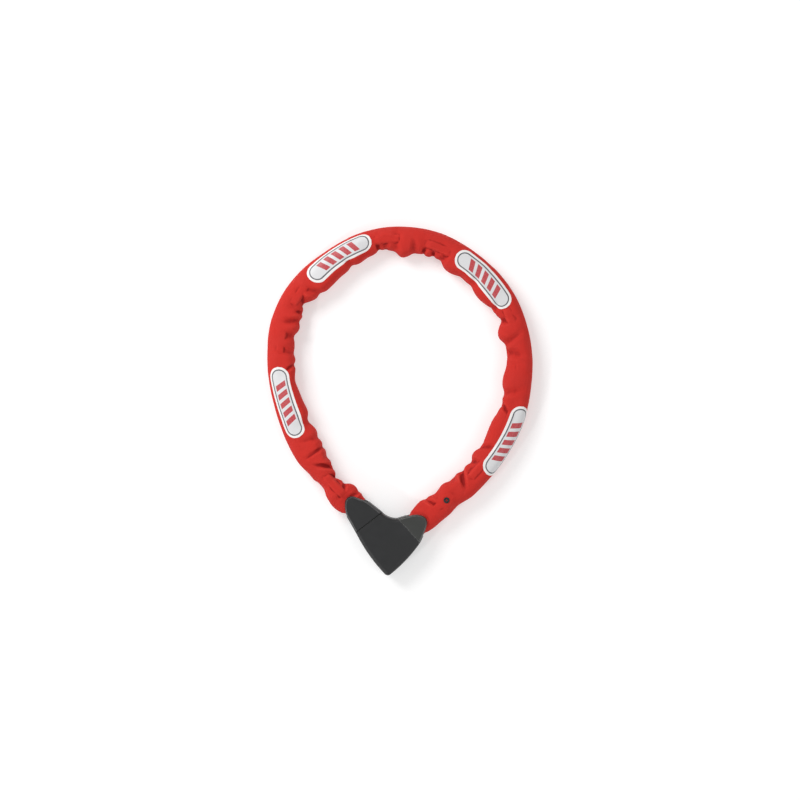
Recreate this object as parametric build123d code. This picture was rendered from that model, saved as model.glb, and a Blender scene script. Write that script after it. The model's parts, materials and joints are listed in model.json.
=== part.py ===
from build123d import *
import os
from math import cos, radians, sin

# Chain lock, closed and lying flat on its back. Millimetres, +Z up, and z = 0 is what it lies on.
# The origin is where the axes of the two legs of the V-shaped lock body cross. The left leg holds
# the plug, the locking bolt and the cylinder on one axis. The right leg holds the anchor pin.

# ---- lock body ----
body_thickness = 25.0
mid_height = body_thickness / 2
left_leg_angle = 127.5
right_leg_angle = 43.0
cover_wall = 2.4
cover_rounding = 4.0
left_parting = 34.4
left_half_width = 16.4
right_parting = 26.8
right_inner_width = 17.5
right_outer_width = 15.4
notch_point = (0.5, 31.9)
tip_point = (-2.4, -26.7)
tip_radius = 4.1
left_flank_point = (-20.2, -5.7)
right_flank_point = (14.6, -11.7)
parting_gap = 0.3

# ---- end caps: points on their leg, as (along, across). The mouth's two corners lie on the flanks.
# The nose is the rounded tongue over the sleeve's end, from one corner of the mouth to the other. ----
cap_wall = 1.9
cap_room = 10.3
mouth_overlap = 1.0
cap_slope_height = 1.8
cap_slope_width = 4.0
left_cap_mouth = ((52.5, 13.9), (50.5, -12.4))
left_cap_nose = [(60.3, 10.7), (65.8, 6.3), (67.6, 1.5), (65.6, -3.4), (59.0, -7.9)]
right_cap_mouth = ((33.5, -12.8), (35.0, 13.6))
right_cap_nose = [(42.2, -8.7), (46.9, -5.0), (48.5, -0.6), (46.5, 5.0), (42.5, 9.3)]
tongue_thickness = 2.6

# ---- steel case ----
case_back = -14.0
case_front = 31.8
case_half_width = 11.5
case_half_height = 10.0
bolt_boss_width = 14.4
fork_height = (-8.0, 8.0)
fork_half_width = 7.5
fork_slot_half_height = 3.5
anchor_at = 30.5
anchor_radius = 3.0

# ---- plug ----
stem_radius = 6.0
stem_tip = 12.6
groove_from = 15.4
groove_to = 20.6
groove_radius = 3.6
plug_pin_at = 49.5
plug_pin_radius = 2.5
running_clearance = 0.08

# ---- cylinder ----
housing_radius = 7.7
core_radius = 6.5
disc_radius = 4.9
disc_count = 7
disc_thickness = 1.9
spacer_thickness = 0.7
disc_play = 0.05
core_front = -14.8
keyway = (3.0, 7.0)
cam_radius = 2.6
cam_pin_radius = 1.2
bolt_travel = 2.4

# ---- keyhole cover ----
frame_face = -17.6
frame_back = -15.0
frame_span = (-6.0, 13.5)
frame_half_height = 7.5
cover_half_width = 4.0

# ---- chain and sleeve ----
link_bar = 5.5
link_opening = 9.4
link_slack = 2.8
link_rounding = 1.4
link_count = 29
links_per_body = 2
sleeve_width = 29.0
sleeve_wall = 1.2
sleeve_gap = 3.2
sleeve_neck = (24.8, 18.8)
right_neck = (9.2, 19.2)
left_neck = (19.0, 6.8)
plug_link_swing = 6.0
anchor_pin_play = 0.6
plug_pin_play = 1.6
rivet_at = 44.6

# Points of the chain's route round the loop, between the anchor pin and the plug's pin.
route_points = [
    (58, 51), (96, 90), (120, 132), (129, 178), (124, 222), (103, 258), (72, 288), (35, 306),
    (-4, 310), (-42, 298), (-78, 270), (-102, 233), (-110, 190), (-104, 150), (-88, 110), (-66, 74),
]


def leg_plane(angle):
    """Plane at mid thickness whose x runs out along a leg, from the crossing of the two axes."""
    direction = (cos(radians(angle)), sin(radians(angle)), 0)
    return Plane(origin=(0, 0, mid_height), x_dir=direction, z_dir=(0, 0, 1))


left_leg = leg_plane(left_leg_angle)
right_leg = leg_plane(right_leg_angle)


def on_base(leg, along, across):
    """Point of the base plane at a place on a leg."""
    point = leg.from_local_coords(Vector(along, across, 0))
    return Vector(point.X, point.Y, 0)


def block(leg, along, across, height, rounding=0.0):
    """Box between pairs of limits on a leg, heights counted from mid thickness."""
    size = [high - low for low, high in (along, across, height)]
    centre = [(low + high) / 2 for low, high in (along, across, height)]
    box = Box(*size)
    if rounding:
        box = fillet(box.edges(), rounding)
    return leg.location * Pos(*centre) * box


def rod(leg, along, radius, across=0.0, height=0.0):
    """Cylinder that runs along a leg."""
    start, end = along
    centre = Pos((start + end) / 2, across, height)
    return leg.location * centre * Rot(0, 90, 0) * Cylinder(radius, end - start)


def upright(leg, along, across, radius, height):
    """Cylinder that stands on a leg, between two heights from mid thickness."""
    low, high = height
    return leg.location * Pos(along, across, (low + high) / 2) * Cylinder(radius, high - low)


def half(shape, upper):
    """The part of a shape above or below mid thickness."""
    size = 400.0
    z = mid_height + size / 2 if upper else mid_height - size / 2
    return shape & (Pos(0, 0, z) * Box(size, size, size))


# ---------------------------------------------------------------- lock body covers

def body_outline():
    """Plan of the V-shaped body between its two parting lines."""
    left_outer = on_base(left_leg, left_parting, left_half_width)
    left_inner = on_base(left_leg, left_parting, -left_half_width)
    right_inner = on_base(right_leg, right_parting, right_inner_width)
    right_outer = on_base(right_leg, right_parting, -right_outer_width)
    edges = [
        Line(left_inner, left_outer),
        ThreePointArc(left_outer, left_flank_point, tip_point),
        ThreePointArc(tip_point, right_flank_point, right_outer),
        Line(right_outer, right_inner),
        ThreePointArc(right_inner, notch_point, left_inner),
    ]
    return make_face(edges)


def on_parting(edge):
    """True for an edge of the body that lies in one of the parting planes."""
    along_left = left_leg.to_local_coords(edge.center()).X
    along_right = right_leg.to_local_coords(edge.center()).X
    return abs(along_left - left_parting) < 0.01 or abs(along_right - right_parting) < 0.01


def body_envelope():
    """Outside of the two covers together, with rounded rims and a rounded tip."""
    body = extrude(body_outline(), body_thickness)
    tip = body.edges().filter_by(Axis.Z).sort_by(Axis.Y)[0]
    body = fillet(tip, tip_radius)
    rims = [edge for edge in body.edges() if abs(edge.center().Z - mid_height) > mid_height - 0.01]
    return fillet([edge for edge in rims if not on_parting(edge)], cover_rounding)


def body_cavity():
    """Inside of the covers, with the stem's hole, the right leg's mouth and the keyhole pocket."""
    plan = offset(body_outline(), amount=-cover_wall, kind=Kind.INTERSECTION)
    cavity = Pos(0, 0, cover_wall) * extrude(plan, body_thickness - 2 * cover_wall)
    stem_hole = rod(left_leg, (left_parting - 4, left_parting + 1), stem_radius + 0.5)
    leg_mouth = block(right_leg, (right_parting - 4, right_parting + 1), (-12.2, 12.2), (-9.6, 9.6))
    pocket_span = (frame_span[0] - 0.1, frame_span[1] + 0.1)
    pocket_height = (-frame_half_height - 0.1, frame_half_height + 0.1)
    pocket = block(left_leg, (-26, frame_back + 0.2), pocket_span, pocket_height)
    return cavity + stem_hole + leg_mouth + pocket


screw_places = [(right_leg, 17.0, -12.0), (right_leg, 18.4, 15.2), (left_leg, -8.0, 14.4)]
screw_radius = 1.2
screw_head_radius = 2.4
screw_head_height = 1.8
inner_half_height = mid_height - cover_wall


def make_front_cover(envelope, cavity):
    cover = half(envelope - cavity, upper=True)
    for leg, along, across in screw_places:
        cover += upright(leg, along, across, 2.5, (0.2, inner_half_height + 0.5))
        cover -= upright(leg, along, across, screw_radius + 0.02, (0, inner_half_height - 2))
    return cover


def make_back_cover(envelope, cavity):
    cover = half(envelope - cavity, upper=False)
    for leg, along, across in screw_places:
        cover += upright(leg, along, across, 2.9, (-inner_half_height - 0.5, 0))
        cover -= upright(leg, along, across, screw_radius + 0.15, (-mid_height - 1, 1))
        head_room = (-mid_height - 1, 0.5 - inner_half_height)
        cover -= upright(leg, along, across, screw_head_radius + 0.1, head_room)
    return cover


def make_screw(leg, along, across, head_low, end):
    """Pan-head screw driven from the back, with a cross recess."""
    head_top = head_low + screw_head_height
    screw = upright(leg, along, across, screw_head_radius, (head_low, head_top))
    screw += upright(leg, along, across, screw_radius, (head_top - 0.1, end))
    recess = Box(2.6, 0.6, 1.6) + Box(0.6, 2.6, 1.6)
    return screw - leg.location * Pos(along, across, head_low) * recess


def make_cover_screws():
    head_low = 0.4 - inner_half_height - screw_head_height
    screws = [make_screw(leg, x, y, head_low, inner_half_height - 3) for leg, x, y in screw_places]
    return Compound(children=[solid for screw in screws for solid in screw.solids()])


# ---------------------------------------------------------------- end caps

def inset(corner, shift):
    """Corner of a cap's inside: a wall's thickness in from the flank, and shifted along the leg."""
    along, across = corner
    return (along + shift, across - cap_wall if across > 0 else across + cap_wall)


def plan_prism(leg, corners, height):
    """Prism on a leg over a polygon of (along, across) corners, between two heights."""
    low, high = height
    plan = make_face(Polyline(*[Vector(along, across, 0) for along, across in corners], close=True))
    return leg.location * Pos(0, 0, low) * extrude(plan, high - low)


def cap_envelope(leg, parting, mouth, nose):
    """Outside of an end cap, drawn out into its tongue, with a sloping margin on both faces."""
    flank_start, flank_end = (Vector(*corner, 0) for corner in parting)
    near_corner, far_corner = (Vector(*corner, 0) for corner in mouth)
    nose_points = [Vector(*point, 0) for point in nose]
    plan = make_face([
        Line(flank_end, flank_start),
        Line(flank_start, near_corner),
        Spline(
            near_corner, *nose_points, far_corner,
            tangents=[near_corner - flank_start, flank_end - far_corner]),
        Line(far_corner, flank_end),
    ])
    cap = extrude(plan, mid_height, both=True)
    faces = cap.faces().sort_by(Axis.Z)
    for outer_face in (faces[-1], faces[0]):
        at_height = outer_face.center().Z
        rim = [
            edge for edge in cap.edges()
            if abs(edge.center().Z - at_height) < 0.01 and edge.center().X > parting[0][0] + 0.5
        ]
        cap = chamfer(rim, cap_slope_height, cap_slope_width, reference=outer_face)
    return leg.location * cap


def cap_shell(leg, parting, mouth, nose, upper, back_opening):
    """One half of an end cap: a shell open at the mouth, and its tongue beyond the mouth."""
    shell = cap_envelope(leg, parting, mouth, nose)
    under_tongue = mid_height - tongue_thickness
    inside = [inset(corner, cap_wall) for corner in parting]
    inside += [inset(corner, mouth_overlap) for corner in (mouth[1], mouth[0])]
    past_nose = max(along for along, side in nose) + 5
    beyond = [mouth[0], mouth[1], (past_nose, 1.5 * mouth[1][1]), (past_nose, 1.5 * mouth[0][1])]
    shell -= plan_prism(leg, inside, (-cap_room, cap_room))
    shell -= plan_prism(leg, beyond, (-under_tongue, under_tongue))
    shell -= back_opening
    return half(shell, upper)


left_cap_parting = [
    (left_parting + parting_gap, left_half_width), (left_parting + parting_gap, -left_half_width)]
right_cap_parting = [
    (right_parting + parting_gap, -right_outer_width), (right_parting + parting_gap, right_inner_width)]
cap_screw_places = [(41.5, 10.6), (41.5, -10.6)]


def make_plug_cap(upper):
    """Half of the cap that covers the plug's fork."""
    opening = block(left_leg, (34, 38), (-9.2, 9.2), (-8.2, 8.2))
    shell = cap_shell(left_leg, left_cap_parting, left_cap_mouth, left_cap_nose, upper, opening)
    inner = mid_height - cap_wall
    head_room = (-mid_height - 1, 1.0 - inner)
    for along, across in cap_screw_places:
        if upper:
            shell += upright(left_leg, along, across, 2.2, (0.5, inner))
            shell -= upright(left_leg, along, across, screw_radius + 0.02, (0, inner - 1.5))
        else:
            shell += upright(left_leg, along, across, 2.9, (-inner, 0))
            shell -= upright(left_leg, along, across, screw_radius + 0.15, (-mid_height - 1, 1))
            shell -= upright(left_leg, along, across, screw_head_radius + 0.1, head_room)
    return shell


def make_plug_cap_screws():
    inner = mid_height - cap_wall
    head_low = 0.9 - inner - screw_head_height
    screws = [make_screw(left_leg, x, y, head_low, inner - 2) for x, y in cap_screw_places]
    return Compound(children=[solid for screw in screws for solid in screw.solids()])


def make_end_cap(upper):
    """Half of the cap on the anchor leg, with the spigot that holds it in the covers."""
    opening = block(right_leg, (26, 30), (-10.8, 10.8), (-8.5, 8.5))
    shell = cap_shell(right_leg, right_cap_parting, right_cap_mouth, right_cap_nose, upper, opening)
    spigot = block(right_leg, (24.6, 27.6), (-12.0, 12.0), (-9.4, 9.4))
    spigot -= block(right_leg, (24, 28), (-10.8, 10.8), (-8.5, 8.5))
    return shell + half(spigot, upper)


# ---------------------------------------------------------------- steel case and fixed metal parts

def fork(leg, base, pin_at, slot_from):
    """Two ears with a slot for a link between them, rounded about the pin."""
    ears = block(leg, (base, pin_at), (-fork_half_width, fork_half_width), fork_height)
    ears += upright(leg, pin_at, 0, fork_half_width, fork_height)
    slot = (-fork_slot_half_height, fork_slot_half_height)
    return ears - block(leg, (slot_from, pin_at + 20), (-20, 20), slot)


plate_span = ((7.0, 25.0), (-10.9, 13.4))
plate_thickness = 2.2
plate_screw_places = [(15.0, -9.0), (23.1, 8.0)]
pocket_along = (8.5, 21.2)
pocket_across = (-7.3, 12.5)
pocket_top = 5.8


def make_lock_case():
    """Hardened case: socket and cylinder on the left leg's axis, anchor fork on the right leg."""
    case_height = (-case_half_height, case_half_height)
    case_width = (-case_half_width, case_half_width)
    case = block(left_leg, (case_back, case_front), case_width, case_height, 1.5)
    case += block(left_leg, (5.6, 26.4), (0, bolt_boss_width), case_height, 1.5)
    case += block(right_leg, (6, 18.8), (-fork_half_width, fork_half_width), fork_height)
    case += fork(right_leg, 18, anchor_at, 18.8)
    case -= rod(left_leg, (12, case_front + 1), stem_radius + running_clearance)
    case -= rod(left_leg, (case_back - 1, 8.6), housing_radius + 0.02)
    pocket_height = (-case_half_height + plate_thickness, pocket_top)
    case -= block(left_leg, pocket_along, pocket_across, pocket_height)
    case -= block(left_leg, plate_span[0], plate_span[1],
                  (-case_half_height - 1, -case_half_height + plate_thickness))
    for along, across in plate_screw_places:
        case -= upright(left_leg, along, across, 1.02, (-case_half_height, -3.0))
    case -= upright(right_leg, anchor_at, 0, anchor_radius + 0.02, (-mid_height, mid_height))
    case -= upright(left_leg, -8, 0, 1.52, (-case_half_height - 1, -housing_radius + 0.5))
    return case


def make_case_plate():
    """Plate that closes the bolt pocket from the back."""
    play = 0.05
    (low_x, high_x), (low_y, high_y) = plate_span
    plate = block(left_leg, (low_x + play, high_x - play), (low_y + play, high_y - play),
                  (-case_half_height, -case_half_height + plate_thickness - play))
    for along, across in plate_screw_places:
        plate -= upright(left_leg, along, across, 1.1, (-mid_height, 0))
        plate -= upright(left_leg, along, across, 1.75, (-mid_height, -case_half_height + 1.2))
    return plate


def make_case_plate_screws():
    solids = []
    for along, across in plate_screw_places:
        screw = upright(left_leg, along, across, 1.6, (-case_half_height, -case_half_height + 1.1))
        screw += upright(left_leg, along, across, 1.0, (-case_half_height + 1.0, -3.4))
        screw -= left_leg.location * Pos(along, across, -case_half_height) * Box(2.4, 0.5, 1.0)
        solids += screw.solids()
    return Compound(children=solids)


def make_anchor_pin():
    return upright(right_leg, anchor_at, 0, anchor_radius, fork_height)


# ---------------------------------------------------------------- disc cylinder

def make_cylinder_housing():
    """Sleeve that the core turns in, with the sidebar's groove and the retaining pin's seat."""
    housing = rod(left_leg, (-14.5, 8.4), housing_radius)
    housing -= rod(left_leg, (-15, 9), core_radius + running_clearance)
    housing -= block(left_leg, (-12.4, 5.2), (-1.1, 1.1), (core_radius - 0.5, core_radius + 0.7))
    housing -= upright(left_leg, -8, 0, 1.52, (-housing_radius - 1, -core_radius - 0.45))
    return housing


def make_cylinder_pin():
    return upright(left_leg, -8, 0, 1.5, (-case_half_height, -core_radius - 0.5))


def make_cylinder_core():
    """Drum with the keyway in its face, a bore for the discs and a slot for the sidebar."""
    core = rod(left_leg, (core_front, 6.6), core_radius)
    core -= rod(left_leg, (core_front + 1.4, 7), disc_radius + 0.05)
    keyway_across = (-keyway[0] / 2, keyway[0] / 2)
    keyway_height = (-keyway[1] / 2, keyway[1] / 2)
    core -= block(left_leg, (core_front - 1, core_front + 2), keyway_across, keyway_height)
    return core - block(left_leg, (-12.2, 5.0), (-1.0, 1.0), (4, 8))


def disc_stack():
    """Start of each disc along the left leg."""
    step = disc_thickness + spacer_thickness + 2 * disc_play
    return [core_front + 1.4 + disc_play + index * step for index in range(disc_count)]


def make_discs():
    solids = []
    for start in disc_stack():
        disc = rod(left_leg, (start, start + disc_thickness), disc_radius)
        disc -= block(left_leg, (-30, 30), (-keyway[0] / 2, keyway[0] / 2), (-3.4, 3.4))
        disc -= block(left_leg, (-30, 30), (-1.0, 1.0), (disc_radius - 0.7, disc_radius + 1))
        solids += disc.solids()
    return Compound(children=solids)


def make_disc_spacers():
    solids = []
    for start in disc_stack()[:-1]:
        low = start + disc_thickness + disc_play
        washer = rod(left_leg, (low, low + spacer_thickness), disc_radius)
        washer -= rod(left_leg, (low - 1, low + 2), 3.6)
        solids += washer.solids()
    return Compound(children=solids)


def make_sidebar():
    return block(left_leg, (-12.1, 4.9), (-0.9, 0.9), (disc_radius + 0.08, core_radius - 0.02))


def make_drive_cam():
    """Plate that closes the core and carries the eccentric pin for the bolt."""
    cam = rod(left_leg, (5.1, 6.7), disc_radius)
    cam += rod(left_leg, (6.65, 8.3), core_radius)
    cam += rod(left_leg, (8.2, 11.4), cam_pin_radius, height=cam_radius)
    return cam


def make_locking_bolt():
    """Angle-shaped bolt: window for the cam's pin, arm beside the stem and nose for its groove."""
    bolt = block(left_leg, (8.9, 12.1), (-4.6, 12.0), (-4.2, 5.4))
    arm_face = stem_radius + bolt_travel + 0.3
    nose_face = stem_radius + 0.3
    bolt += block(left_leg, (8.9, 20.4), (arm_face, 12.0), (-4.2, 4.2))
    nose_across = (nose_face, arm_face + 0.5)
    bolt += block(left_leg, (groove_from + 0.4, groove_to - 0.4), nose_across, (-4.2, 4.2))
    window_across = (-cam_pin_radius - 0.8, cam_pin_radius + 0.15)
    window_height = (-cam_pin_radius - 0.2, cam_radius + cam_pin_radius + 0.2)
    return bolt - block(left_leg, (8, 12.6), window_across, window_height)


# ---------------------------------------------------------------- keyhole

def make_keyhole_frame():
    """Escutcheon let into the flank: window for the key and two lips that hold its cover."""
    play = 0.05
    span = (frame_span[0] + play, frame_span[1] - play)
    height = (-frame_half_height + play, frame_half_height - play)
    frame = block(left_leg, (frame_face, frame_back), span, height)
    track_span = (frame_span[0] + 1.6, frame_span[1] - 1.6)
    frame -= block(left_leg, (-16.9, -15.7), track_span, (-6.7, 6.7))
    frame -= block(left_leg, (frame_face - 1, -16.5), track_span, (-5.6, 5.6))
    return frame - block(left_leg, (-16, frame_back + 1), (-2.6, 2.6), (-4.2, 4.2))


def make_keyhole_cover():
    """Sliding cover over the keyway, with a ribbed thumb pad."""
    cover = block(left_leg, (-16.8, -15.8), (-cover_half_width, cover_half_width), (-6.6, 6.6))
    pad_width = (-cover_half_width + 0.3, cover_half_width - 0.3)
    cover += block(left_leg, (-17.8, -16.7), pad_width, (-5.4, 5.4))
    for across in (-2.2, 0, 2.2):
        cover += block(left_leg, (-18.2, -17.7), (across - 0.4, across + 0.4), (-4.6, 4.6))
    return cover


# ---------------------------------------------------------------- plug

def make_plug_stem():
    """Hardened plug: grooved stem, shoulder block and the fork for the last link."""
    stem = rod(left_leg, (stem_tip, 36), stem_radius)
    tip = stem.edges().sort_by(lambda edge: left_leg.to_local_coords(edge.center()).X)[0]
    stem = chamfer(tip, 1.4)
    groove = rod(left_leg, (groove_from, groove_to), stem_radius + 1)
    stem -= groove - rod(left_leg, (groove_from - 1, groove_to + 1), groove_radius)
    stem += block(left_leg, (left_parting + parting_gap, 39), (-9, 9), fork_height)
    stem += fork(left_leg, 38.5, plug_pin_at - 2.6, 39)
    return stem - upright(left_leg, plug_pin_at, 0, plug_pin_radius + 0.02, fork_height)


def make_plug_pin():
    return upright(left_leg, plug_pin_at, 0, plug_pin_radius, fork_height)


# ---------------------------------------------------------------- chain and sleeve

anchor_point = on_base(right_leg, anchor_at, 0)
plug_point = on_base(left_leg, plug_pin_at, 0)
route = Edge.make_spline(
    [anchor_point, *[Vector(x, y, 0) for x, y in route_points], plug_point],
    tangents=[right_leg.x_dir, -leg_plane(left_leg_angle + plug_link_swing).x_dir],
)


def route_at(length):
    """Point of the route at a length from the anchor pin, at mid thickness."""
    point = route.position_at(length, position_mode=PositionMode.LENGTH)
    return Vector(point.X, point.Y, mid_height)


def next_length(length, chord):
    """Length along the route at which the straight distance from an earlier point is the chord."""
    here = route_at(length)
    low, high = length + 0.8 * chord, min(length + 1.4 * chord, route.length)
    for _ in range(40):
        middle = (low + high) / 2
        if (route_at(middle) - here).length < chord:
            low = middle
        else:
            high = middle
    return low


def chain_lengths(pitch):
    """Length along the route of every point where two links meet."""
    first = pitch + link_slack / 2 - anchor_radius - anchor_pin_play
    lengths = [next_length(0.0, first)]
    for _ in range(link_count - 2):
        lengths.append(next_length(lengths[-1], pitch))
    return lengths


def fitted_pitch():
    """Pitch at which the last link just reaches the plug's pin."""
    low, high = 24.0, 28.0
    for _ in range(30):
        pitch = (low + high) / 2
        last = pitch + link_slack / 2 - plug_pin_radius - plug_pin_play
        end = chain_lengths(pitch)[-1]
        if (route_at(end) - route_at(route.length)).length > last and end < route.length - 5:
            low = pitch
        else:
            high = pitch
    return low


link_pitch = fitted_pitch()
meeting_lengths = chain_lengths(link_pitch)


def make_link(centre, direction, on_edge):
    """Link of square bar with rounded corners, lying flat or standing on edge."""
    inner = link_pitch + link_slack
    plan = SlotOverall(inner + 2 * link_bar, link_opening + 2 * link_bar)
    plan -= SlotOverall(inner, link_opening)
    ring = extrude(plan, link_bar / 2, both=True)
    rims = [edge for edge in ring.edges() if abs(edge.center().Z) > link_bar / 2 - 0.01]
    ring = fillet(rims, link_rounding)
    normal = direction.cross(Vector(0, 0, 1)) if on_edge else Vector(0, 0, 1)
    return Plane(origin=centre, x_dir=direction, z_dir=normal).location * ring


def chain_links():
    """All links in order from the anchor pin, lying flat and standing on edge in turn."""
    points = [route_at(length) for length in (0, *meeting_lengths, route.length)]
    links = []
    for index in range(link_count):
        start, end = points[index], points[index + 1]
        direction = (end - start).normalized()
        centre = end - direction * (link_pitch / 2)
        if index == link_count - 1:
            centre = start + direction * (link_pitch / 2)
        links.append(make_link(centre, direction, on_edge=index % 2 == 1))
    return links


def sleeve_bar(start, end, width, height):
    """Bent bar of stadium section along the route between two lengths."""
    first, middle, last = route_at(start), route_at((start + end) / 2), route_at(end)
    bow = (middle - (first + last) / 2).length
    path = ThreePointArc(first, middle, last) if bow > 0.05 else Line(first, last)
    heading = path % 0
    start_plane = Plane(origin=first, x_dir=heading.cross(Vector(0, 0, 1)), z_dir=heading)
    return sweep(start_plane * SlotOverall(width, height), path)


def last_bar(start, end, width, height):
    """Straight bar of stadium section beside the last link, between two lengths along the route."""
    pin = route_at(route.length)
    direction = (pin - route_at(meeting_lengths[-1])).normalized()
    origin = pin - direction * (route.length - start)
    start_plane = Plane(origin=origin, x_dir=direction.cross(Vector(0, 0, 1)), z_dir=direction)
    return extrude(start_plane * SlotOverall(width, height), amount=end - start, dir=direction)


def sleeve_tube(start, end, width, height):
    """Hollow stretch of the sleeve."""
    outer = sleeve_bar(start, end, width, height)
    return outer - sleeve_bar(start - 1, end + 1, width - 2 * sleeve_wall, height - 2 * sleeve_wall)


def hinge_lengths():
    """Where one chain body turns on the next: the pins and every second meeting of links."""
    return [0.0, *meeting_lengths[links_per_body - 1::links_per_body], route.length]


def make_sleeve(index):
    """Stretch of the sleeve on one chain body, necked under a cap's tongue at either end."""
    hinges = hinge_lengths()
    start, end = hinges[index] + sleeve_gap / 2, hinges[index + 1] - sleeve_gap / 2
    neck_width, neck_height = sleeve_neck
    inner_neck = (neck_width - 2 * sleeve_wall, neck_height - 2 * sleeve_wall)
    if index == 0:
        neck_start, neck_end = right_neck
        sleeve = sleeve_tube(neck_end, end, sleeve_width, body_thickness)
        sleeve += sleeve_bar(neck_end, neck_end + sleeve_wall, sleeve_width, body_thickness)
        sleeve += sleeve_bar(neck_start, neck_end, neck_width, neck_height)
        return sleeve - sleeve_bar(neck_start - 1, neck_end + sleeve_wall + 0.1, *inner_neck)
    if index == len(hinges) - 2:
        neck_start, neck_end = route.length - left_neck[0], route.length - left_neck[1]
        wide_inside = (sleeve_width - 2 * sleeve_wall, body_thickness - 2 * sleeve_wall)
        sleeve = last_bar(start, neck_start, sleeve_width, body_thickness)
        sleeve += last_bar(neck_start, neck_end, neck_width, neck_height)
        sleeve -= last_bar(start - 1, neck_start - sleeve_wall, *wide_inside)
        return sleeve - last_bar(start, neck_end + 1, *inner_neck)
    return sleeve_tube(start, end, sleeve_width, body_thickness)


def make_sleeve_rivet():
    """Eyelet pressed into the sleeve's upper wall near the anchor leg."""
    place = Pos(route_at(rivet_at).X, route_at(rivet_at).Y, body_thickness)
    rivet = place * Pos(0, 0, 0.35) * Cylinder(3.0, 0.6)
    rivet += place * Pos(0, 0, -0.7) * Cylinder(1.7, 1.8)
    return rivet - place * Cylinder(0.9, 6)


def rivet_hole():
    place = Pos(route_at(rivet_at).X, route_at(rivet_at).Y, body_thickness)
    return place * Cylinder(1.75, 4)


# ---------------------------------------------------------------- all parts

def all_parts():
    envelope = body_envelope()
    cavity = body_cavity()
    parts = {
        "front_cover": make_front_cover(envelope, cavity),
        "back_cover": make_back_cover(envelope, cavity),
        "cover_screws": make_cover_screws(),
        "lock_case": make_lock_case(),
        "case_plate": make_case_plate(),
        "case_plate_screws": make_case_plate_screws(),
        "anchor_pin": make_anchor_pin(),
        "end_cap_front": make_end_cap(upper=True),
        "end_cap_back": make_end_cap(upper=False),
        "cylinder_housing": make_cylinder_housing(),
        "cylinder_pin": make_cylinder_pin(),
        "cylinder_core": make_cylinder_core(),
        "code_discs": make_discs(),
        "disc_spacers": make_disc_spacers(),
        "sidebar": make_sidebar(),
        "drive_cam": make_drive_cam(),
        "locking_bolt": make_locking_bolt(),
        "keyhole_frame": make_keyhole_frame(),
        "keyhole_cover": make_keyhole_cover(),
        "plug_stem": make_plug_stem(),
        "plug_pin": make_plug_pin(),
        "plug_cap_front": make_plug_cap(upper=True),
        "plug_cap_back": make_plug_cap(upper=False),
        "plug_cap_screws": make_plug_cap_screws(),
        "sleeve_rivet": make_sleeve_rivet(),
    }
    links = chain_links()
    for index in range(len(hinge_lengths()) - 1):
        pair = links[links_per_body * index:links_per_body * (index + 1)]
        name = f"{index + 1:02d}"
        solids = [solid for link in pair for solid in link.solids()]
        parts[f"chain_links_{name}"] = Compound(children=solids)
        sleeve = make_sleeve(index)
        parts[f"sleeve_{name}"] = sleeve - rivet_hole() if index == 0 else sleeve
    return parts


os.makedirs("parts", exist_ok=True)
for node, shape in all_parts().items():
    export_step(shape, f"parts/{node}.step")
print("link pitch", round(link_pitch, 3), "route length", round(route.length, 2))
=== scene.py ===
import json
import math

import bpy
import numpy as np
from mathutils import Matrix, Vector


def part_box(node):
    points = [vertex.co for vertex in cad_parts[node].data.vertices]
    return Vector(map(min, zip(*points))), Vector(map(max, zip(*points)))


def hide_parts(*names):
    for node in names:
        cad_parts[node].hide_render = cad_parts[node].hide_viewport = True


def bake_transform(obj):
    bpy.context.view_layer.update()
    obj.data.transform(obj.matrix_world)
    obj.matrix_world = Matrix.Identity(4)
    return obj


# Chain lock lying flat, closed. Metres, +Z up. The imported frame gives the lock, the plug and the chain,
# and this script adds the red sleeve, cut from a simulated tube of cloth, its printed patches, the
# finish of every surface, and the floor, lights and camera.

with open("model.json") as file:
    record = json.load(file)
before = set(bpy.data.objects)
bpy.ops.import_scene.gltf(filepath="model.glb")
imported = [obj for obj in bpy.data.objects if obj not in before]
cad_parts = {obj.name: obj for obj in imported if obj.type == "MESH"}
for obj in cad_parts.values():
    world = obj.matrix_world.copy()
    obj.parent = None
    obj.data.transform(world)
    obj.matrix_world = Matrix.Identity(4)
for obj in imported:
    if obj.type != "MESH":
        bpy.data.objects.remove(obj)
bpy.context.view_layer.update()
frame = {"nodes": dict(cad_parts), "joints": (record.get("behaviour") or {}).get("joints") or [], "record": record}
MM = 0.001

# ---- sleeve: its mesh and its section ----
CLOTH_ALONG = 430            # rows of the simulated mesh along the sleeve
CLOTH_AROUND = 52            # points round each row
FINE = 2                     # how much finer the finished mesh is than the simulated one
SLEEVE_HALF_WIDTH = 14.5 * MM
SLEEVE_HALF_HEIGHT = 12.0 * MM
SECTION_POWER = 2.4          # 2 is an ellipse, more is squarer
SECTION_POINTS = 2001        # that its length is measured with
SLEEVE_ENDS = 4.0 * MM       # how far inside the two pins the cloth stops
BLEND_REACH = 9.0 * MM       # how far past a patch's ends a hinge still counts as crossed by it

# ---- sleeve: squeezed flat where it goes between the tongues of the two end caps ----
NECK_HALF_HEIGHT = 8.8 * MM
ANCHOR_NECK, PLUG_NECK = 16.0 * MM, 18.0 * MM        # lengths of the squeezed ends in the first shape
NECK_RISE = 13.0 * MM                                # from there to full height
TONGUE_ROOM = 9.2 * MM                               # half the room between a cap's tongues
ANCHOR_TONGUE, PLUG_TONGUE = 17.5 * MM, 18.5 * MM    # how far the tongues reach over the cloth
TONGUE_RISE = 7.0 * MM

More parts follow.
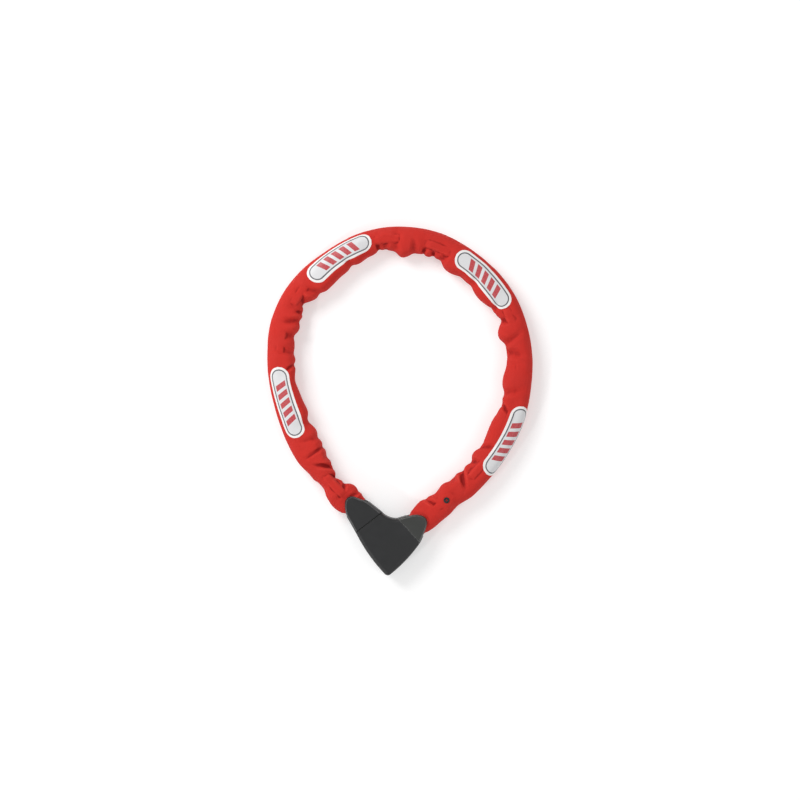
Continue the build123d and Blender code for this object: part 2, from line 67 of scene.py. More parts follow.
# ---- sleeve: the cloth simulation ----
CLOTH_SEED = 11
SIM_SCALE = 100.0            # the cloth solver works best on metre-sized things
SIM_FRAMES = 14
REST_BEND = 0.88             # the uncreased tube's bend, as a share of the loop's
BEND_WINDOW = 31             # rows over which the uncreased tube's bend is evened out
HELD_ROWS = 4                # rows that stay put at each end
RIPPLE = 0.25 * MM           # uneven waves given to the inner side, for the gathers to start from
RIPPLE_LENGTH = 22.0 * MM
RIPPLE_SPREAD = 0.55, 1.45   # slowest and fastest turn of the waves, against the mean
ROUGHNESS = 0.06 * MM        # random unevenness of every point
FILLING_INSET = 1.5 * MM     # how far inside the first shape the filling lies
GATHER_EASE = 1.5            # rows over which the simulated cloth is evened out
EASE_REACH = 5               # rows on each side that this takes in

# ---- what the cloth lies on, and under ----
ROUTE_POINTS = 6001          # of the chain's centre line
LINK_HALF_LENGTH = 18.6 * MM
LINK_HALF_WIDTH = 10.2 * MM
CLOTH_OFF_LINK = 1.5 * MM
CLOTH_OVER_BAR = 5.0 * MM    # half the width of what a link's bar holds the cloth out to
TOP = 25.0 * MM              # top of the lock body, which the sleeve stays under
CLOTH_OVER_TOP = 0.3 * MM    # except by this much, and softly
FLOOR_GAP = 0.4 * MM         # how far above the floor the lowest cloth stays
RIVET_SEAT = 3.4 * MM        # radius of the level seat round the eyelet
RIVET_SINK = 0.05 * MM       # how far below the top that seat is
SOFT_FROM = 0.8              # share of the room for the cloth where the soft limit begins
PLUG_LINK_SWING = math.radians(6.0)    # of the last link, against the plug's own axis

# Edges of the sleeve as (distance from the anchor pin, distance from the chain's centre line), in mm.
# The inner edge is gathered into scallops, each valley between two links that lie flat.
INNER_EDGE = [
    (0, 10.4), (5, 10.6), (9, 12.6), (20, 14.4), (29, 14.4), (39, 11.2), (53, 13.6), (64, 11.4), (72, 11.0),
    (88, 8.6), (97, 12.3), (110, 11.0), (140, 14.0), (150, 12.0), (163, 11.0), (185, 14.9), (200, 12.6),
    (217, 10.8), (237, 15.8), (256, 8.8), (264, 10.4), (288, 15.7), (313, 13.4), (333, 16.0),
    (353, 9.0), (363, 10.4), (368, 9.6), (373, 11.6), (389, 17.0), (411, 9.0), (427, 11.6), (442, 14.8),
    (459, 15.8), (492, 17.8), (506, 14.4), (520, 9.0), (527, 9.6), (533, 13.4), (547, 13.0),
    (563, 12.2), (586, 14.6), (600, 13.6), (640, 16.8), (652, 13.6), (662, 16.6), (680, 15.6),
    (706, 10.8), (719, 5.6), (726, 7.6), (736, 13.6), (744, 13.4), (750, 11.4), (760, 10.4)]
OUTER_EDGE = [
    (0, 10.4), (5, 10.6), (9, 12.6), (20, 14.4), (38, 14.4), (49, 12.8), (67, 16.0), (97, 15.8), (144, 15.6),
    (187, 14.0), (232, 14.7), (305, 16.2), (350, 15.6), (397, 13.4), (440, 12.4), (462, 12.4),
    (508, 15.2), (545, 15.6), (578, 13.4), (618, 13.8), (681, 15.4), (700, 12.4), (717, 10.6),
    (725, 14.6), (734, 16.4), (744, 15.4), (750, 12.4), (760, 10.4)]

FOLD_DEPTH = 1.6             # times each fold's depth, pressed in before the cloth relaxes
CREASE_DEPTH = 0.85          # times that depth, pressed in again after the simulation
CREASE_WIDTH = 0.72          # share of each fold's width that this second crease takes
EDGE_CREASE = 0.3            # share of the crease's depth that is left at the inner edge
RIDGE_AT = 1.9               # half widths from a fold to the ridge on each side of it
RIDGE_WIDTH = 0.8            # half widths
RIDGE_HEIGHT = 0.35          # share of the fold's depth
FADE_FROM = 0.45             # share of its reach where a fold begins to fade

# Folds pressed into the upper face: (distance along, lean, depth, half width, reach), in mm.
# A fold starts at the inner edge and runs across for reach mm, leaning forward by lean mm per mm.
FOLDS = [
    (33, 0.30, 1.6, 2.6, 22), (71, -0.55, 2.6, 3.2, 24), (92, 0.20, 1.2, 3.4, 14), (113, 0.35, 1.1, 3.6, 20),
    (156, -0.45, 1.6, 3.0, 15), (176, 0.30, 0.9, 4.6, 26), (214, -0.20, 1.2, 4.6, 26),
    (232, 0.40, 1.0, 4.0, 30), (250, -0.15, 1.6, 3.6, 26), (268, 0.20, 1.0, 4.0, 14),
    (303, 0.10, 0.9, 5.0, 18), (343, -0.30, 1.2, 3.8, 22), (356, 0.15, 2.0, 2.4, 13),
    (366, -0.10, 2.2, 2.4, 14), (378, 0.20, 1.1, 4.0, 22), (396, -0.10, 1.4, 4.6, 28),
    (417, 0.05, 2.6, 2.2, 22), (452, 0.20, 0.9, 4.0, 14), (503, 0.45, 1.4, 4.6, 22),
    (513, -0.50, 1.3, 4.0, 26), (529, 0.10, 1.8, 2.4, 12), (541, 0.35, 1.6, 4.0, 24),
    (556, 0.10, 1.2, 4.4, 20), (572, -0.20, 0.9, 4.0, 22), (590, 0.60, 1.5, 2.6, 12),
    (668, -0.25, 1.0, 3.6, 22), (683, 0.05, 1.8, 2.4, 26), (699, -0.75, 2.6, 3.4, 22),
    (712, -0.45, 2.0, 3.0, 24), (731, 0.30, 1.8, 2.6, 24), (742, -0.20, 1.2, 2.4, 18)]

# ---- printed patches: (distance to the centre, shift to the outer edge at each end), in mm ----
PATCHES = {
    "patch_right_low": (127, 10.5, 10.5),
    "patch_right_high": (298, 1.5, 3.0),
    "patch_left_high": (458, 2.5, 1.5),
    "patch_left_low": (625, 3.0, 1.0),
}
PATCH_LENGTH = 73.0 * MM
PATCH_WIDTH = 20.5 * MM
PATCH_THICKNESS = 0.35 * MM
PATCH_COLUMNS = 25
PATCH_STEP = 0.8 * MM        # between the rows of a patch
PATCH_TIP = 0.3 * MM         # half width that is left at the very ends
EDGE_TURN = 0.12             # share of the half width over which its edge goes down to the sleeve
EDGE_OPEN = 0.02             # share of that width which the edge stays off the sleeve
KEYLINE_INSET = 3.0 * MM     # from the patch's edge to the middle of its dark line
KEYLINE_HALF = 0.6 * MM
BAR_PITCH = 8.8 * MM
BAR_COUNT = 5
BAR_LEAN = 0.45              # mm along for each mm across
BAR_HALF_SHARE = 0.31        # half of a bar's thickness, as a share of the pitch
BAR_HALF_HEIGHT = 5.2 * MM

# ---- colours and textures ----
RED = (0.60, 0.028, 0.020)
# Painted shade for the sleeve's folds and the gaps between its threads.
RED_PAINTED_SHADE = (0.30, 0.008, 0.007)
# Painted highlight for the sleeve's ridges.
RED_PAINTED_HIGHLIGHT = (0.74, 0.055, 0.038)
PRINT_WHITE = (0.82, 0.80, 0.79)
PRINT_INNER = (0.66, 0.66, 0.67)
PRINT_LINE = (0.07, 0.07, 0.08)
PRINT_RED = (0.46, 0.025, 0.035)
PRINT_SCUFF = (0.5, 0.48, 0.48)
EYELET_BLACK = (0.02, 0.02, 0.022)
EYELET_RUBBED = (0.16, 0.15, 0.15)
JOINT_BLACK = (0.001, 0.001, 0.001)
THREAD = 0.62 * MM           # pitch of the sleeve's weave
PLUG_PARTING = 34.55 * MM    # from the origin, along the plug's axis, to the joint at the plug's cap
PARTING_DARK, PARTING_CLEAR = 0.45 * MM, 0.85 * MM    # dark up to the one distance, none from the other

# ---- floor and camera ----
FLOOR_SIZE = 6
FLOOR_DROP = 0.2 * MM        # how far under the object the floor is
VIEW_CENTRE = (0.0101, 0.1493)
VIEW_WIDTH = 0.8
LENS = 90.0


# ---------------------------------------------------------------- small helpers

def smooth(value, low, high):
    """0 up to low, 1 from high on, and eased between."""
    t = np.clip((value - low) / (high - low), 0, 1)
    return t * t * (3 - 2 * t)


def hermite(t, start, end, start_slope, end_slope):
    """A cubic from start to end as t goes from 0 to 1, with these slopes at its ends."""
    ends = start * (1 + 2 * t) * (1 - t) ** 2 + end * t * t * (3 - 2 * t)
    return ends + start_slope * t * (1 - t) ** 2 - end_slope * t * t * (1 - t)


def curve_through(points, at):
    """Height of a smooth curve through (place, height) points, flat at its peaks and valleys."""
    places = np.array([p[0] for p in points]) * MM
    heights = np.array([p[1] for p in points]) * MM
    rise = np.diff(heights) / np.diff(places)
    slope = np.zeros(len(places))
    product = rise[1:] * rise[:-1]
    same_way = product > 0
    slope[1:-1] = np.where(same_way, 2 * product / np.where(same_way, rise[1:] + rise[:-1], 1), 0)
    index = np.clip(np.searchsorted(places, at, side="right") - 1, 0, len(places) - 2)
    span = places[index + 1] - places[index]
    t = np.clip((at - places[index]) / span, 0, 1)
    return hermite(t, heights[index], heights[index + 1], span * slope[index], span * slope[index + 1])


def across(direction):
    """Unit vectors to the right of each direction, which is outward on this loop."""
    return np.stack([direction[..., 1], -direction[..., 0]], -1)


def box_middle(node):
    """Middle of a node's box, seen from above."""
    low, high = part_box(node)
    return np.array([(low.x + high.x) / 2, (low.y + high.y) / 2])


def linked(name, data):
    """A new object in the scene."""
    obj = bpy.data.objects.new(name, data)
    bpy.context.scene.collection.objects.link(obj)
    return obj


# ---------------------------------------------------------------- route of the chain

chain_joints = [j for j in frame["joints"] if j["child"].startswith("chain_")]
hinges = [np.array(j["pos_m"][:2]) for j in chain_joints]
mid_height = chain_joints[0]["pos_m"][2]
plug_pin = box_middle("plug_pin")
plug_axis = plug_pin / np.linalg.norm(plug_pin)


def make_route():
    """A fine polyline of the chain's centre line: a cubic spline through its hinges and both pins, with
    its direction given at the two pins."""
    points = np.array([*hinges, plug_pin])
    cos, sin = math.cos(PLUG_LINK_SWING), math.sin(PLUG_LINK_SWING)
    last = -np.array([cos * plug_axis[0] - sin * plug_axis[1], sin * plug_axis[0] + cos * plug_axis[1]])
    span = np.linalg.norm(np.diff(points, axis=0), axis=1)
    count = len(points)
    system, right_side = np.zeros((count, count)), np.zeros((count, 2))
    system[0, 0] = system[-1, -1] = 1
    right_side[0], right_side[-1] = points[0] / np.linalg.norm(points[0]), last
    for i in range(1, count - 1):
        before, after = span[i - 1], span[i]
        system[i, i - 1], system[i, i], system[i, i + 1] = after, 2 * (before + after), before
        right_side[i] = 3 * (before * (points[i + 1] - points[i]) / after
                             + after * (points[i] - points[i - 1]) / before)
    tangent = np.linalg.solve(system, right_side)
    starts = np.concatenate([[0], np.cumsum(span)])
    at = np.linspace(0, starts[-1], ROUTE_POINTS)
    k = np.clip(np.searchsorted(starts, at, side="right") - 1, 0, count - 2)
    t = ((at - starts[k]) / span[k])[:, None]
    length = span[k][:, None]
    return hermite(t, points[k], points[k + 1], length * tangent[k], length * tangent[k + 1])


route = make_route()
route_lengths = np.concatenate([[0], np.cumsum(np.linalg.norm(np.diff(route, axis=0), axis=1))])
sleeve_length = route_lengths[-1]


def route_at(length):
    """Places on the route at these distances along it."""
    x = np.interp(length, route_lengths, route[:, 0])
    y = np.interp(length, route_lengths, route[:, 1])
    return np.stack([x, y], -1)


def direction_at(length):
    """Unit vectors along the route at these distances."""
    step = route_at(length + MM) - route_at(length - MM)
    return step / np.linalg.norm(step, axis=-1)[..., None]


hinge_at = [route_lengths[np.linalg.norm(route - h, axis=1).argmin()] for h in hinges]


def link_centres():
    """Distances along the route of the centres of the links that lie flat, and of those on edge."""
    spans = list(zip(hinge_at[:-1], hinge_at[1:]))
    flat = [a + 0.25 * (b - a) for a, b in spans] + [(hinge_at[-1] + sleeve_length) / 2]
    on_edge = [a + 0.75 * (b - a) for a, b in spans]
    return np.array(flat), np.array(on_edge)


def link_reach(length, centres):
    """How far the nearest of these links reaches from the centre line."""
    away = np.abs(length[:, None] - centres).min(1)
    into_end = np.clip((away - (LINK_HALF_LENGTH - LINK_HALF_WIDTH)) / LINK_HALF_WIDTH, 0, 1)
    return LINK_HALF_WIDTH * np.sqrt(1 - into_end ** 2)


# ---------------------------------------------------------------- sleeve: first shape

def section(t):
    """Superellipse round the chain: x is outward and z up."""
    c, s = np.cos(t), np.sin(t)
    power = 2 / SECTION_POWER
    return (SLEEVE_HALF_WIDTH * np.sign(c) * np.abs(c) ** power,
            SLEEVE_HALF_HEIGHT * np.sign(s) * np.abs(s) ** power)


def section_angles(count):
    """Angles of points spaced evenly round the section, from the outer edge over the top."""
    t = np.linspace(0, 2 * math.pi, SECTION_POINTS)
    x, z = section(t)
    lengths = np.concatenate([[0], np.cumsum(np.hypot(np.diff(x), np.diff(z)))])
    return np.interp(np.linspace(0, lengths[-1], count, endpoint=False), lengths, t), lengths[-1]


rows = np.linspace(SLEEVE_ENDS, sleeve_length - SLEEVE_ENDS, CLOTH_ALONG)
ring_angles, ring_length = section_angles(CLOTH_AROUND)
ring_x, ring_z = section(ring_angles)
ring_side = ring_x / SLEEVE_HALF_WIDTH       # -1 at the inner edge, 1 at the outer edge


def fold_push(depth_share, width_share):
    """How far each point moves out along its normal: in at the folds, out at a ridge on each side."""
    to_inner_edge = ring_x + SLEEVE_HALF_WIDTH
    push = np.zeros((len(rows), CLOTH_AROUND))
    for place, lean, depth, half_width, reach in FOLDS:
        drift = lean * (to_inner_edge - reach * MM / 2)
        away = (rows[:, None] - place * MM - drift) / (width_share * half_width * MM)
        fade = 1 - smooth(to_inner_edge, FADE_FROM * reach * MM, reach * MM)
        ridge = (np.abs(away) - RIDGE_AT) / RIDGE_WIDTH
        shape = RIDGE_HEIGHT * np.exp(-ridge ** 2) - depth_share * np.exp(-away ** 2)
        push += depth * MM * shape * fade
    return push


def past_ends(anchor_end, plug_end):
    """How far each row is past the stretches of these lengths at the two pins."""
    return np.minimum(rows - anchor_end, sleeve_length - plug_end - rows)


def shaped_grid(margin=0.0, with_folds=True):
    """Sleeve at rest before it is simulated, as a grid of rows and rings, shrunk by margin."""
    power = SECTION_POWER - 1
    up = np.abs(ring_z / SLEEVE_HALF_HEIGHT) ** power / SLEEVE_HALF_HEIGHT
    normal = np.stack([np.sign(ring_x) * np.abs(ring_side) ** power / SLEEVE_HALF_WIDTH,
                       np.sign(ring_z) * up], -1)
    normal /= np.linalg.norm(normal, axis=1)[:, None]
    inner = curve_through(INNER_EDGE, rows) - SLEEVE_HALF_WIDTH
    outer = curve_through(OUTER_EDGE, rows) - SLEEVE_HALF_WIDTH
    in_share = smooth(-ring_side, -0.6, 1.0)     # of the inner edge's shift that each point takes
    out_share = smooth(ring_side, 0.1, 1.0)
    push = inner[:, None] * in_share + outer[:, None] * out_share
    if with_folds:
        push = push + fold_push(FOLD_DEPTH, 1.0)
    squat = NECK_HALF_HEIGHT / SLEEVE_HALF_HEIGHT
    tall = squat + (1 - squat) * smooth(past_ends(ANCHOR_NECK, PLUG_NECK), 0, NECK_RISE)
    push = push - margin
    lateral = ring_x[None] + push * normal[None, :, 0]
    height = (ring_z[None] + push * normal[None, :, 1]) * tall[:, None]
    return place_grid(lateral, height)


def place_grid(lateral, height):
    """The grid with each row across the route, at these distances outward and up."""
    outward = across(direction_at(rows))
    centre = route_at(rows)
    grid = np.zeros((*lateral.shape, 3))
    grid[..., :2] = centre[:, None] + outward[:, None] * lateral[..., None]
    grid[..., 2] = mid_height + height
    return grid


def rest_grid():
    """Uncreased sleeve: the same tube bent less, so that the inner side has cloth to spare."""
    heading = np.unwrap(np.arctan2(*direction_at(rows).T[::-1]))
    turn = np.pad(np.diff(heading), BEND_WINDOW // 2, mode="edge")
    turn = np.convolve(turn, np.ones(BEND_WINDOW) / BEND_WINDOW, "valid")
    step = np.diff(rows)
    stretch = (1 + turn / step * SLEEVE_HALF_WIDTH) / (1 + REST_BEND * turn / step * SLEEVE_HALF_WIDTH)
    step = step * stretch
    rest_heading = np.concatenate([[0], np.cumsum(turn * REST_BEND)])
    mid = (rest_heading[1:] + rest_heading[:-1]) / 2
    centre = np.zeros((len(rows), 2))
    centre[1:, 0] = np.cumsum(step * np.cos(mid))
    centre[1:, 1] = np.cumsum(step * np.sin(mid))
    outward = np.stack([np.sin(rest_heading), -np.cos(rest_heading)], -1)
    grid = np.zeros((len(rows), CLOTH_AROUND, 3))
    grid[..., :2] = centre[:, None] + outward[:, None] * ring_x[None, :, None]
    grid[..., 2] = ring_z
    return grid


# ---------------------------------------------------------------- sleeve: simulation

def grid_faces(along, around, closed):
    """Corners of each face of a grid, as (row, column). A closed grid goes on round to column 0."""
    return [[(i, j), (i + 1, j), (i + 1, (j + 1) % around), (i, (j + 1) % around)]
            for i in range(along - 1) for j in range(around if closed else around - 1)]


def grid_mesh(name, grid, faces):
    """A mesh of a grid's points."""
    around = grid.shape[1]
    mesh = bpy.data.meshes.new(name)
    numbered = [[i * around + j for i, j in face] for face in faces]
    mesh.from_pydata(grid.reshape(-1, 3).tolist(), [], numbered)
    return mesh


def tube_object(name, grid):
    """A tube to simulate, in the solver's scale."""
    return linked(name, grid_mesh(name, grid * SIM_SCALE, grid_faces(*grid.shape[:2], closed=True)))


def uneven_start():
    """The first shape with uneven waves on its inner side and a little roughness all over."""
    rng = np.random.default_rng(CLOTH_SEED)
    start = shaped_grid()
    inner_share = smooth(-ring_side, -0.4, 1.0)
    turns = rng.uniform(*RIPPLE_SPREAD, CLOTH_ALONG)
    waves = np.cumsum(turns) * (rows[1] - rows[0]) / RIPPLE_LENGTH
    ripple = np.sin(waves * 2 * math.pi)[:, None] * inner_share[None] * RIPPLE
    middle = np.concatenate([route_at(rows), np.full((CLOTH_ALONG, 1), mid_height)], 1)
    outward = start - middle[:, None]
    outward /= np.linalg.norm(outward, axis=2)[..., None]
    return start + outward * (ripple + rng.normal(size=ripple.shape) * ROUGHNESS)[..., None]


def add_filling():
    """What the cloth lies on: the chain's outer shape, smoothed, a little inside the first shape."""
    filling = tube_object("filling_work", shaped_grid(margin=FILLING_INSET, with_folds=False))
    filling.modifiers.new("collision", "COLLISION")
    filling.collision.thickness_outer = 0.03
    filling.collision.cloth_friction = 10
    return filling


def add_cloth():
    """The tube with its cloth settings: held at both ends, and at rest in its uncreased shape."""
    cloth = tube_object("cloth_work", uneven_start())
    cloth.shape_key_add(name="Basis")
    key = cloth.shape_key_add(name="rest")
    key.data.foreach_set("co", (rest_grid() * SIM_SCALE).reshape(-1).astype(np.float32))
    key.value = 0
    pins = cloth.vertex_groups.new(name="pins")
    points, held = CLOTH_ALONG * CLOTH_AROUND, HELD_ROWS * CLOTH_AROUND
    pins.add([*range(held), *range(points - held, points)], 1.0, "REPLACE")
    modifier = cloth.modifiers.new("cloth", "CLOTH")
    settings = modifier.settings
    settings.quality = 6
    settings.mass = 0.3
    settings.tension_stiffness = 30
    settings.compression_stiffness = 30
    settings.shear_stiffness = 8
    settings.bending_stiffness = 6.0
    settings.bending_damping = 0.5
    settings.air_damping = 2
    settings.vertex_group_mass = "pins"
    settings.rest_shape_key = key
    settings.effector_weights.gravity = 0.0
    modifier.collision_settings.distance_min = 0.02
    modifier.collision_settings.use_self_collision = False
    modifier.point_cache.frame_end = SIM_FRAMES
    return cloth


def simulated_grid():
    """The first shape relaxed as cloth over its filling. The spare length on the inner side gathers."""
    cloth = add_cloth()
    filling = add_filling()
    scene = bpy.context.scene
    scene.frame_start, scene.frame_end = 1, SIM_FRAMES
    for number in range(1, SIM_FRAMES + 1):
        scene.frame_set(number)
    evaluated = cloth.evaluated_get(bpy.context.evaluated_depsgraph_get())
    flat = np.zeros(CLOTH_ALONG * CLOTH_AROUND * 3, np.float32)
    evaluated.data.vertices.foreach_get("co", flat)
    scene.frame_set(1)
    for obj in (cloth, filling):
        mesh = obj.data
        bpy.data.objects.remove(obj)
        bpy.data.meshes.remove(mesh)
    return flat.reshape(CLOTH_ALONG, CLOTH_AROUND, 3).astype(float) / SIM_SCALE


def off_links(lateral, height):
    """How many times further out each point has to be, to clear the link that it lies over."""
    grow = np.ones_like(lateral)
    flat_links, edge_links = link_centres()
    flat_reach, edge_reach = (
        np.maximum(link_reach(rows, links) + CLOTH_OFF_LINK, CLOTH_OVER_BAR)[:, None]
        for links in (flat_links, edge_links))
    for wide, tall in ((flat_reach, CLOTH_OVER_BAR), (CLOTH_OVER_BAR, edge_reach)):
        size = ((lateral / wide) ** 4 + (height / tall) ** 4) ** 0.25
        grow = np.maximum(grow, 1 / np.maximum(size, 1e-6))
    return grow


def under_tongues(height):
    """Heights pressed softly into the room there is: little between a cap's tongues, more past them."""
    open_room = TOP - mid_height + CLOTH_OVER_TOP
    past_tongues = smooth(past_ends(ANCHOR_TONGUE, PLUG_TONGUE), 0, TONGUE_RISE)
    room = (TONGUE_ROOM + (open_room - TONGUE_ROOM) * past_tongues)[:, None]
    knee = SOFT_FROM * room
    over = np.maximum(np.abs(height) - knee, 0)
    span = room - knee
    return np.sign(height) * (np.minimum(np.abs(height), knee) + span * np.tanh(over / span))


def settled(grid):
    """Keeps the cloth off the links, under the tongues, on the floor and level round the eyelet."""
    centre, outward = route_at(rows), across(direction_at(rows))
    offset = grid[..., :2] - centre[:, None]
    lateral = (offset * outward[:, None]).sum(-1)
    height = grid[..., 2] - mid_height
    drift = offset - lateral[..., None] * outward[:, None]
    grow = off_links(lateral, height)
    result = grid.copy()
    result[..., :2] = centre[:, None] + outward[:, None] * (lateral * grow)[..., None] + drift
    result[..., 2] = np.maximum(mid_height + under_tongues(height * grow), FLOOR_GAP)
    seat = TOP - RIVET_SINK
    away = np.linalg.norm(result[..., :2] - box_middle("sleeve_rivet"), axis=-1)
    share = (1 - smooth(away, RIVET_SEAT, 3 * RIVET_SEAT)) * (result[..., 2] > mid_height)
    result[..., 2] += (seat - result[..., 2]) * share
    return result


def finer(grid, times):
    """The same surface with more rows and rings, by a smooth curve through the points each way."""
    def along_axis(values, closed):
        before, after = np.roll(values, 1, 0), np.roll(values, -1, 0)
        if not closed:
            before[0] = 2 * values[0] - values[1]
            after[-1] = 2 * values[-1] - values[-2]
        slope = (after - before) / 2
        next_slope = np.roll(slope, -1, 0)
        last = len(values) if closed else len(values) - 1
        steps = [hermite(step / times, values, after, slope, next_slope)[:last] for step in range(times)]
        out = np.stack(steps, 1).reshape(last * times, *values.shape[1:])
        return out if closed else np.concatenate([out, values[-1:]])
    grid = along_axis(grid, False)
    return along_axis(grid.swapaxes(0, 1), True).swapaxes(0, 1)


def eased(grid):
    """Evens out the finest gathers along the sleeve, which cloth this thick does not take."""
    offsets = np.arange(-EASE_REACH, EASE_REACH + 1)
    weights = np.exp(-0.5 * (offsets / GATHER_EASE) ** 2)
    padded = np.pad(grid, ((EASE_REACH, EASE_REACH), (0, 0), (0, 0)), mode="edge")
    shifted = [weight * padded[start:start + len(grid)] for start, weight in enumerate(weights)]
    even = np.sum(shifted, axis=0) / weights.sum()
    even[:EASE_REACH], even[-EASE_REACH:] = grid[:EASE_REACH], grid[-EASE_REACH:]
    return even


def grid_normals(grid):
    """Unit normals of a closed tube's points, outward."""
    along = np.gradient(grid, axis=0)
    around = np.roll(grid, -1, 1) - np.roll(grid, 1, 1)
    normal = np.cross(along, around)
    return normal / np.maximum(np.linalg.norm(normal, axis=2), 1e-12)[..., None]


def sleeve_grid():
    """The finished sleeve: simulated, evened out, creased again, settled on the chain and refined."""
    grid = eased(simulated_grid())
    off_edge = smooth(ring_side, -1.0, -0.55)
    creases = fold_push(CREASE_DEPTH, CREASE_WIDTH) * (EDGE_CREASE + (1 - EDGE_CREASE) * off_edge)
    return finer(settled(grid + grid_normals(grid) * creases[..., None]), FINE)


cloth_grid = sleeve_grid()
cloth_normals = grid_normals(cloth_grid)
fine_rows = np.linspace(rows[0], rows[-1], len(cloth_grid))
fine_around = cloth_grid.shape[1]


# ---------------------------------------------------------------- materials

def principled(name, colour, roughness, metallic=0.0):
    """A new material, its node tree and its shader."""
    material = bpy.data.materials.new(name)
    material.use_nodes = True
    shader = material.node_tree.nodes["Principled BSDF"]
    shader.inputs["Base Color"].default_value = (*colour, 1)
    shader.inputs["Roughness"].default_value = roughness
    shader.inputs["Metallic"].default_value = metallic
    return material, material.node_tree, shader


def add(tree, kind, **values):
    """A shader node with its properties set, and inputs set by name."""
    node = tree.nodes.new(kind)
    for key, value in values.items():
        if hasattr(node, key) and key not in node.inputs:
            setattr(node, key, value)
        else:
            node.inputs[key].default_value = value
    return node


def math_node(tree, operation, first, second=None):
    """The result of an operation on sockets or plain numbers."""
    node = add(tree, "ShaderNodeMath", operation=operation)
    for socket, value in zip(node.inputs, (first, second)):
        if isinstance(value, (int, float)):
            socket.default_value = value
        elif value is not None:
            tree.links.new(value, socket)
    return node.outputs["Value"]


def absolute(tree, value):
    """The value without its sign."""
    return math_node(tree, "ABSOLUTE", value)


def noise(tree, scale, detail=2.0, roughness=0.5):
    """Noise in the object's own coordinates, which are the row frame's metres."""
    place = add(tree, "ShaderNodeTexCoord")
    node = add(tree, "ShaderNodeTexNoise", Scale=scale, Detail=detail, Roughness=roughness)
    tree.links.new(place.outputs["Object"], node.inputs["Vector"])
    return node.outputs["Fac"]


def between(tree, value, low, high, to_low, to_high):
    """The value carried over from one range to another, and held at its ends."""
    node = add(tree, "ShaderNodeMapRange", **{"From Min": low, "From Max": high})
    node.inputs["To Min"].default_value = to_low
    node.inputs["To Max"].default_value = to_high
    tree.links.new(value, node.inputs["Value"])
    return node.outputs["Result"]


def mixed(tree, share, first, second):
    """Colour between first and second, each a colour or a socket."""
    node = add(tree, "ShaderNodeMix", data_type="RGBA")
    if isinstance(share, (int, float)):
        node.inputs["Factor"].default_value = share
    else:
        tree.links.new(share, node.inputs["Factor"])
    for socket, value in ((node.inputs[6], first), (node.inputs[7], second)):
        if isinstance(value, tuple):
            socket.default_value = (*value, 1)
        else:
            tree.links.new(value, socket)
    return node.outputs[2]


def bump(tree, shader, height, distance, strength=1.0, under=None):
    """Raises the surface by a height, on top of another bump or rounded edges if given."""
    node = add(tree, "ShaderNodeBump", Distance=distance, Strength=strength)
    tree.links.new(height, node.inputs["Height"])
    if under is not None:
        tree.links.new(under, node.inputs["Normal"])
    tree.links.new(node.outputs["Normal"], shader.inputs["Normal"])
    return node


def plug_joint(tree):
    """1 in the dark joint between the plug's cap and the lock body, 0 away from it."""
    place = add(tree, "ShaderNodeTexCoord")
    leg = add(tree, "ShaderNodeVectorMath", operation="DOT_PRODUCT")
    leg.inputs[1].default_value = (*plug_axis, 0)
    tree.links.new(place.outputs["Object"], leg.inputs[0])
    away = absolute(tree, math_node(tree, "SUBTRACT", leg.outputs["Value"], PLUG_PARTING))
    return between(tree, away, PARTING_DARK, PARTING_CLEAR, 1.0, 0.0)


def moulded_plastic(name, colour, lighter, roughness, grain=0.05 * MM):
    """Spark-eroded moulded plastic: fine grain, uneven gloss, and a painted highlight along the edges, which are
    also smoother.
    """
    material, tree, shader = principled(name, colour, roughness)
    shader.inputs["Specular IOR Level"].default_value = 0.45
    rounded = add(tree, "ShaderNodeBevel", samples=4, Radius=0.8 * MM)
    sharp = add(tree, "ShaderNodeNewGeometry")
    facing = add(tree, "ShaderNodeVectorMath", operation="DOT_PRODUCT")
    tree.links.new(rounded.outputs["Normal"], facing.inputs[0])
    tree.links.new(sharp.outputs["Normal"], facing.inputs[1])
    edge = between(tree, facing.outputs["Value"], 0.995, 0.95, 0.0, 1.0)
    patchy = between(tree, noise(tree, 900, 3), 0.35, 0.7, 0.25, 1.0)
    joint = plug_joint(tree)
    off_joint = math_node(tree, "SUBTRACT", 1.0, joint)
    # Painted highlight along the sharp edges, broken up by noise and kept off the joint.
    painted_edge_highlight = math_node(tree, "MULTIPLY", math_node(tree, "MULTIPLY", edge, patchy), off_joint)
    mottle = between(tree, noise(tree, 60, 3), 0.3, 0.7, 0.0, 1.0)
    darker = tuple(c * 0.86 for c in colour)
    base = mixed(tree, mottle, darker, colour)
    base = mixed(tree, joint, mixed(tree, painted_edge_highlight, base, lighter), JOINT_BLACK)
    tree.links.new(base, shader.inputs["Base Color"])
    gloss = between(tree, noise(tree, 140, 4), 0.3, 0.7, roughness - 0.06, roughness + 0.06)
    smoother = math_node(tree, "MULTIPLY", painted_edge_highlight, -0.12)
    tree.links.new(math_node(tree, "ADD", gloss, smoother), shader.inputs["Roughness"])
    bump(tree, shader, noise(tree, 1900, 2), grain, 0.5, rounded.outputs["Normal"])
    return material


def worked_metal(name, colour, roughness, streak, scale):
    """Turned or plated metal: fine streaks in colour, gloss and height."""
    material, tree, shader = principled(name, colour, roughness, 1.0)
    place = add(tree, "ShaderNodeTexCoord")
    stretch = add(tree, "ShaderNodeMapping", Scale=streak)
    tree.links.new(place.outputs["Object"], stretch.inputs["Vector"])
    lines = add(tree, "ShaderNodeTexNoise", Scale=scale, Detail=3.0)
    tree.links.new(stretch.outputs["Vector"], lines.inputs["Vector"])
    cloudy = between(tree, noise(tree, 110, 3), 0.3, 0.7, 0.0, 1.0)
    dull = tuple(c * 0.72 for c in colour)
    tree.links.new(mixed(tree, cloudy, dull, colour), shader.inputs["Base Color"])
    gloss = between(tree, lines.outputs["Fac"], 0.3, 0.7, roughness - 0.08, roughness + 0.1)
    tree.links.new(gloss, shader.inputs["Roughness"])
    bump(tree, shader, lines.outputs["Fac"], 0.02 * MM, 0.5)
    return material


